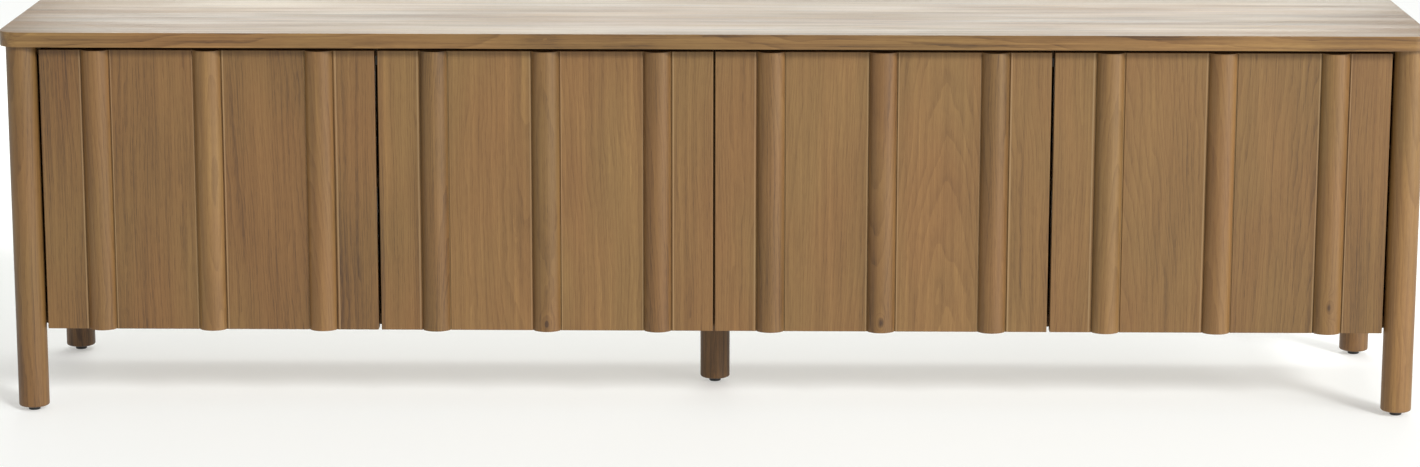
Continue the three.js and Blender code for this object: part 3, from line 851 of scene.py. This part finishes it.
for side in ("left", "right"):
    eased_board(f"side_panel_{side}", oak_sides, 1.0 * MM)
    eased_board(f"shelf_{side}", oak_inside, 1.0 * MM)
for node, material in {
    "bottom_panel": oak_inside,
    "top_rail_front": oak_inside,
    "top_rail_rear": oak_inside,
    "centre_partition": oak_upright,
    "back_panel_left": plywood,
    "back_panel_right": plywood,
}.items():
    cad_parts[node].data.materials.clear()
    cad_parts[node].data.materials.append(material)
print("carcass finished")

# %% [markdown]
# ## Screws
# Every fitting in this cabinet is held by pan-head screws with a cross recess. One head is modelled
# properly, a domed disc with a cross cut into it, and its mesh is then copied to each place, as a
# joiner takes screws from one box.

# %% Model one screw head
SCREW_RADIUS = 3.4 * MM
SCREW_HEIGHT = 1.3 * MM
CROSS_FLOOR = 0.35 * MM


def screw_head():
    """The mesh of a pan head that stands on z = 0 and looks along +Z."""
    dome = [
        (SCREW_RADIUS * math.cos(t), SCREW_HEIGHT * (0.35 + 0.65 * math.sin(t)))
        for t in [math.radians(15 * i) for i in range(7)]
    ]
    head = turned([(0, 0), (SCREW_RADIUS, 0), *dome[:-1], (0, SCREW_HEIGHT)], 24)
    clean(head)
    blank = as_object(head, "screw_head")
    arm, slot = 2.1 * MM, 0.42 * MM  # half the length and half the width of the cross
    plan = [
        (arm, -slot), (arm, slot), (slot, slot), (slot, arm), (-slot, arm), (-slot, slot),
        (-arm, slot), (-arm, -slot), (-slot, -slot), (-slot, -arm), (slot, -arm), (slot, -slot),
    ]
    cut_bores(blank, [extruded(plan, CROSS_FLOOR, SCREW_HEIGHT + 1 * MM)])
    cut = blank.data
    bpy.data.objects.remove(blank)
    return cut


SCREW = screw_head()
TO_MINUS_Y = Matrix.Rotation(math.radians(90), 4, "X")
TO_X = Matrix.Rotation(math.radians(90), 4, "Y")
TO_MINUS_X = Matrix.Rotation(math.radians(-90), 4, "Y")
DOWN = Matrix.Rotation(math.radians(180), 4, "X")


def screw_at(place, facing, turn=0.0, grow=1.0):
    """A screw head as a bmesh at a place, facing one way, turned about its own axis."""
    head = bmesh.new()
    head.from_mesh(SCREW)
    scale = Matrix.Diagonal((grow, grow, grow, 1.0))
    return moved(head, place, facing @ Matrix.Rotation(math.radians(turn), 4, "Z") @ scale)


print("screw head faces:", len(SCREW.polygons))

# %% [markdown]
# ## Hinge cups
# A concealed hinge has a pressed cup let into the door, with a flange that two screws hold. The cup
# is turned with a rolled rim, and the flange is a thin plate with round ends.

# %% Make the hinge cups
EAR, EAR_WIDTH, FLANGE = 13 * MM, 19 * MM, 1.2 * MM
EAR_LAP = 6 * MM  # how far an ear of the flange runs on under the cup's rim


def round_plate(width, height, radius, thickness):
    """A thin plate in the XZ plane with round corners, its outer face at y = thickness."""
    plate = extruded(round_cornered(width / 2, height / 2, radius, 8), 0, thickness)
    ease(plate, 0.25 * MM, lambda edge: level(edge) and edge.verts[0].co.z > thickness / 2)
    return moved(plate, (0, 0, 0), TO_Y)


for door in DOORS:
    for place in ("lower", "upper"):
        node = f"{door}_hinge_cup_{place}"
        low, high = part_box(node)
        centre = middle(node)
        radius = (high.x - low.x) / 2
        wall, rim = 1.0 * MM, high.y
        floor = low.y + wall
        inner = radius - wall
        outside = [(0, low.y), (radius - 2 * MM, low.y), (radius, low.y + 2 * MM)]
        rolled_rim = [
            (radius, rim - 0.5 * MM), (radius - 0.3 * MM, rim),
            (inner, rim - 0.1 * MM), (inner - 0.3 * MM, rim - 1 * MM),
        ]
        inside = [(inner - 0.6 * MM, floor + 2 * MM), (inner - 2.4 * MM, floor), (0, floor)]
        cup = turned([*outside, *rolled_rim, *inside], 64)
        parts = [moved(cup, (centre.x, 0, centre.z), TO_Y)]
        for way in (-1, 1):
            z = centre.z + way * (high.z - low.z - EAR) / 2
            plate = round_plate(EAR_WIDTH, EAR + EAR_LAP, 4 * MM, FLANGE)
            parts.append(moved(plate, (centre.x, rim - FLANGE, z - way * EAR_LAP / 2)))
            parts.append(screw_at((centre.x, rim - 0.3 * MM, z), TO_Y, turn=20 * way + 7))
        finish_piece(merged(parts), f"steel_{node}", nickel, door, [node])
print("cups of", round(2 * radius / MM), "mm")

# %% [markdown]
# ## Hinge arms
# The hinge's arm is clipped on a plate that is screwed to the carcass. It carries two more screws,
# one that moves the door sideways and one that locks its depth. The arm keeps the frame's outline,
# with pressed, rounded edges, and gets a pin at its front end.

# %% Make the hinge arms
PLATE_PROUD, ARM_PROUD = 3 * MM, 13 * MM  # how far each screwed face stands off its board
PLATE_SCREWS = (24 * MM, 14.5 * MM)  # in front of the arm's rear end, and above and below its middle
ARM_SCREWS = ((14 * MM, 12, 1.1), (32 * MM, 50, 0.95))  # in front of the rear end, turn, size
PIN_RADIUS, PIN_LENGTH = 1.5 * MM, 15 * MM
for door in DOORS:
    for place in ("lower", "upper"):
        node = f"{door}_hinge_arm_{place}"
        low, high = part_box(node)
        centre = middle(node)
        inward = 1 if door in LEFT_HINGED else -1
        face = low.x if inward > 0 else high.x
        facing = TO_X if inward > 0 else TO_MINUS_X
        arm = from_node(node)
        ease(arm, 0.7 * MM, sharp)
        parts = [arm]
        plate_face, arm_face = face + inward * PLATE_PROUD, face + inward * ARM_PROUD
        for way in (-1, 1):
            spot = (plate_face, high.y - PLATE_SCREWS[0], centre.z + way * PLATE_SCREWS[1])
            parts.append(screw_at(spot, facing, turn=33 * way))
        for back, turn, grow in ARM_SCREWS:
            parts.append(screw_at((arm_face, high.y - back, centre.z), facing, turn, grow))
        cup = middle(f"{door}_hinge_cup_{place}")
        pin = turned([(0, 0), (PIN_RADIUS, 0), (PIN_RADIUS, PIN_LENGTH), (0, PIN_LENGTH)], 20)
        parts.append(moved(pin, (cup.x, low.y + 3 * MM, centre.z - PIN_LENGTH / 2)))
        finish_piece(merged(parts), f"steel_{node}", nickel, "cabinet", [node])
print("arms on both faces of the partition and on both side panels")

# %% [markdown]
# ## Push latches
# With no handles, each door is opened by pressing it: a sprung plunger at its free edge lets go and
# pushes it out. Two plungers share one ABS housing under the front rail in each bay. The housing has
# softly moulded edges and two screws, and each plunger is of black nylon with a rounded tip.

# %% Make the latches
def outline_edge(edge, low, high):
    """True for a sharp edge along the box of a part, and false inside its bores."""
    return sharp(edge, math.radians(60)) and all(
        sum(min(abs(v.co[i] - low[i]), abs(v.co[i] - high[i])) < 1e-6 for i in range(3)) >= 2
        for v in edge.verts
    )


TIP_ROUND = 1.5 * MM
for side in ("left", "right"):
    node = f"latch_housing_{side}"
    low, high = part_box(node)
    housing = from_node(node)
    ease(housing, 1.0 * MM, partial(outline_edge, low=low, high=high), segments=3)
    finish_piece(housing, f"abs_{node}", grey_abs, "cabinet", [node])
    centre = middle(node)
    screws = [screw_at((centre.x, y, low.z), DOWN, turn=25) for y in (low.y + 12 * MM, high.y - 8 * MM)]
    finish_piece(merged(screws), f"steel_latch_screws_{side}", nickel, "cabinet")
for door in DOORS:
    node = f"{door}_latch_plunger"
    low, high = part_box(node)
    radius, length = (high.x - low.x) / 2, high.y - low.y
    tip = arc((radius - TIP_ROUND, TIP_ROUND), TIP_ROUND, -90, 0, 5)
    rod = turned([(0, 0), *tip, (radius, length), (0, length)], 40)
    centre = middle(node)
    moved(rod, (centre.x, low.y, centre.z), TO_Y)
    finish_piece(rod, f"nylon_{node}", black_nylon, f"{door}_plunger", [node])
print("latches:", 2, "housings,", len(DOORS), "plungers")

# %% [markdown]
# ## Shelf pins and their sleeves
# The shelf in each bay rests on four nickel pins. Rows of sleeved holes, 32 mm apart as furniture
# machines drill them, let it move up or down. Each sleeve is a thin ring, and an empty one gets a
# black disc at its bottom: painted shade for the dark depth of the hole. The pins have a flat
# tongue under the shelf.

# %% Make the pins and sleeves
HOLE_STEP = 32 * MM
SLEEVE_ROWS = range(-2, 3)  # rows of holes below and above the shelf's own
PIN_INSET = 45 * MM  # from the shelf's front and back edges
PIN_DROP = 2.7 * MM  # from the shelf's underside to the pin's middle
SLEEVE = [
    (0, -0.5 * MM), (3.6 * MM, -0.5 * MM), (3.6 * MM, 0.4 * MM), (3.2 * MM, 0.6 * MM),
    (2.6 * MM, 0.6 * MM), (2.6 * MM, 0.1 * MM), (0, 0.1 * MM),
]
# a black disc at the bottom of an empty sleeve, painted shade for the dark depth of the hole
SHADE_DISC_PROFILE = [(0, 0.1 * MM), (2.5 * MM, 0.1 * MM), (2.5 * MM, 0.15 * MM), (0, 0.15 * MM)]
PIN = [(0, 0), (2.45 * MM, 0), (2.45 * MM, 8 * MM), (2.0 * MM, 8.6 * MM), (0, 8.6 * MM)]
TONGUE = [(-3 * MM, -5 * MM), (3 * MM, -5 * MM), (3 * MM, 5 * MM), (-3 * MM, 5 * MM)]
for side, sign in (("left", -1), ("right", 1)):
    shelf_low, shelf_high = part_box(f"shelf_{side}")
    outer_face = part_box(f"side_panel_{side}")[0 if sign > 0 else 1].x
    inner_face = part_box("centre_partition")[1 if sign > 0 else 0].x
    sleeves, bottoms, pins = [], [], []
    for face, way in ((outer_face, -sign), (inner_face, sign)):
        facing = TO_X if way > 0 else TO_MINUS_X
        for y in (shelf_low.y + PIN_INSET, shelf_high.y - PIN_INSET):
            pin_z = shelf_low.z - PIN_DROP
            for row in SLEEVE_ROWS:
                place = (face, y, pin_z + row * HOLE_STEP)
                sleeves.append(moved(turned(SLEEVE, 24), place, facing))
                # an empty hole gets a black disc, painted shade
                if row != 0:
                    bottoms.append(moved(turned(SHADE_DISC_PROFILE, 20), place, facing))
            pins.append(moved(turned(PIN, 20), (face, y, pin_z), facing))
            under_shelf = (face + way * 4.5 * MM, y, shelf_low.z - 1.05 * MM)
            pins.append(moved(extruded(TONGUE, 0, 1.0 * MM), under_shelf))
    finish_piece(merged(sleeves), f"steel_pin_sleeves_{side}", nickel, "cabinet")
    finish_piece(merged(bottoms), f"dark_sleeve_bottoms_{side}", black_nylon, "cabinet")
    finish_piece(merged(pins), f"steel_shelf_pins_{side}", nickel, "cabinet")
print("pins per shelf:", 4, "- hole step, mm:", HOLE_STEP / MM)

# %% [markdown]
# ## Small fittings
# Clear buffers on the doors' backs keep them from knocking on the carcass. The plate of the centre
# leg is a pressed square with four screws, and pan heads along the backs' edges hold the plywood to
# the boards behind which it lies.

# %% Make the buffers, the leg plate and the back screws
BUFFER_INSET = 20 * MM  # from the door's free edge
BUFFER_PROFILE = [(r + 0.7 * MM, h) for r, h in arc((0, -2.8 * MM), 4.3 * MM, 40.6, 90, 6)[:-1]]
PLATE_INSET = 8 * MM
BACK_SCREWS, BACK_INSET = 7, 9 * MM
for door in DOORS:
    low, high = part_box(f"{door}_panel")
    free_x = high.x - BUFFER_INSET if door in LEFT_HINGED else low.x + BUFFER_INSET
    buffers = []
    for z in (low.z + 12 * MM, high.z - 8 * MM):
        pad = turned([(0, 0), (4 * MM, 0), *BUFFER_PROFILE, (0, 1.5 * MM)], 24)
        buffers.append(moved(pad, (free_x, high.y, z), TO_Y))
    finish_piece(merged(buffers), f"clear_buffers_{door}", clear_buffer, door)

plate = from_node("centre_leg_plate")
ease(plate, 0.5 * MM, sharp)
low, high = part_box("centre_leg_plate")
plate_parts = [plate]
for x in (low.x + PLATE_INSET, high.x - PLATE_INSET):
    for y in (low.y + PLATE_INSET, high.y - PLATE_INSET):
        plate_parts.append(screw_at((x, y, low.z), DOWN, turn=40 * x / high.x))
finish_piece(merged(plate_parts), "steel_centre_leg_plate", nickel, "cabinet", ["centre_leg_plate"])

for side in ("left", "right"):
    low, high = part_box(f"back_panel_{side}")
    heads = []
    for i in range(BACK_SCREWS):
        x = low.x + BACK_INSET + (high.x - low.x - 2 * BACK_INSET) * i / (BACK_SCREWS - 1)
        for z in (low.z + BACK_INSET, high.z - BACK_INSET):
            heads.append(screw_at((x, high.y, z), TO_Y, turn=37 * i + 11, grow=0.9))
    finish_piece(merged(heads), f"steel_back_screws_{side}", nickel, "cabinet")
print("fittings done")

# %% [markdown]
# ## Floor and light
# The cabinet stands on a plain floor of matt white acrylic that runs up to the horizon and is lit a
# little from below, so it keeps nearly white under the cabinet too. A studio for furniture is mostly
# bounce light: the white room lights everything from all round. A large box far away at the front
# right, about thirty degrees up, gives the round battens a bright and a dark side, and a smaller
# one further round to the right fills the shadows. A long panel low on the back wall is mirrored in
# the satin top at a grazing angle, which turns the top pale, and a box high at the rear adds a
# little light from above.

# %% Build the studio
floor_material, tree, place = new_material("matt_white_acrylic")
mottle = add_node(tree, "TexNoise", named={"Vector": place, "Scale": 1.5, "Detail": 3.0})
white = add_node(tree, "MixRGB", mottle, hex_colour("#cbcdcc"), hex_colour("#cfd1d0"))
acrylic = add_node(tree, "BsdfPrincipled", named={
    "Base Color": white,
    "Roughness": 0.75,
    "Emission Color": hex_colour("#fdfdfa"),
    "Emission Strength": 0.37,
})
add_node(tree, "OutputMaterial", acrylic)
bm = bmesh.new()
bmesh.ops.create_grid(bm, x_segments=1, y_segments=1, size=30)
floor = as_object(bm, "floor")
floor.data.materials.append(floor_material)
floor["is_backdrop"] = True

world = bpy.data.worlds.new("white_room")
bpy.context.scene.world = world
world.use_nodes = True
world.node_tree.nodes["Background"].inputs["Color"].default_value = hex_colour("#fdfcfa")
world.node_tree.nodes["Background"].inputs["Strength"].default_value = 0.48


def aimed(lamp, place, target):
    """Puts a lamp at a place and turns it to a target."""
    bpy.context.collection.objects.link(lamp)
    way = Vector(target) - Vector(place)
    lamp.matrix_world = Matrix.Translation(place) @ way.to_track_quat("-Z", "Y").to_matrix().to_4x4()


def soft_box(name, place, target, width, height, power, colour="#ffffff"):
    """An area light that looks from a place at a target."""
    data = bpy.data.lights.new(name, "AREA")
    data.shape = "RECTANGLE"
    data.size, data.size_y = width, height
    data.energy = power
    data.color = hex_colour(colour)[:3]
    aimed(bpy.data.objects.new(name, data), place, target)


def far_box(name, place, target, strength, softness):
    """A large light so far away that it is even over the whole cabinet; softness in degrees."""
    data = bpy.data.lights.new(name, "SUN")
    data.energy = strength
    data.angle = math.radians(softness)
    aimed(bpy.data.objects.new(name, data), place, target)


far_box("front_right_box", (2.95, -4.21, 3.40), (0, 0, 0.4), 2.6, 13)
soft_box("right_fill", (5.2, -3.3, 1.8), (0.1, 0, 0.4), 2.0, 1.2, 150)
soft_box("back_wall_panel", (0, 3.5, 1.1), (0, 0.2, 0.6), 3.5, 1.5, 54, "#fcfff7")
soft_box("high_rear_box", (0.4, 1.9, 3.6), (0, 0, 0.3), 3.0, 1.0, 50)

# %% [markdown]
# ## Colour management and the last check
# White walls should come out white, so the plain sRGB view is used, without a film curve. The
# visual model's box is written next to the frame's, and the two should agree to a millimetre or
# two.

# %% Finish
bpy.context.scene.view_settings.view_transform = "Standard"
visual_low, visual_high = (Vector(corner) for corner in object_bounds())
growth = [round(a / MM, 2) for a in (visual_high - visual_low) - size]
print("visual minus CAD size, mm:", growth)
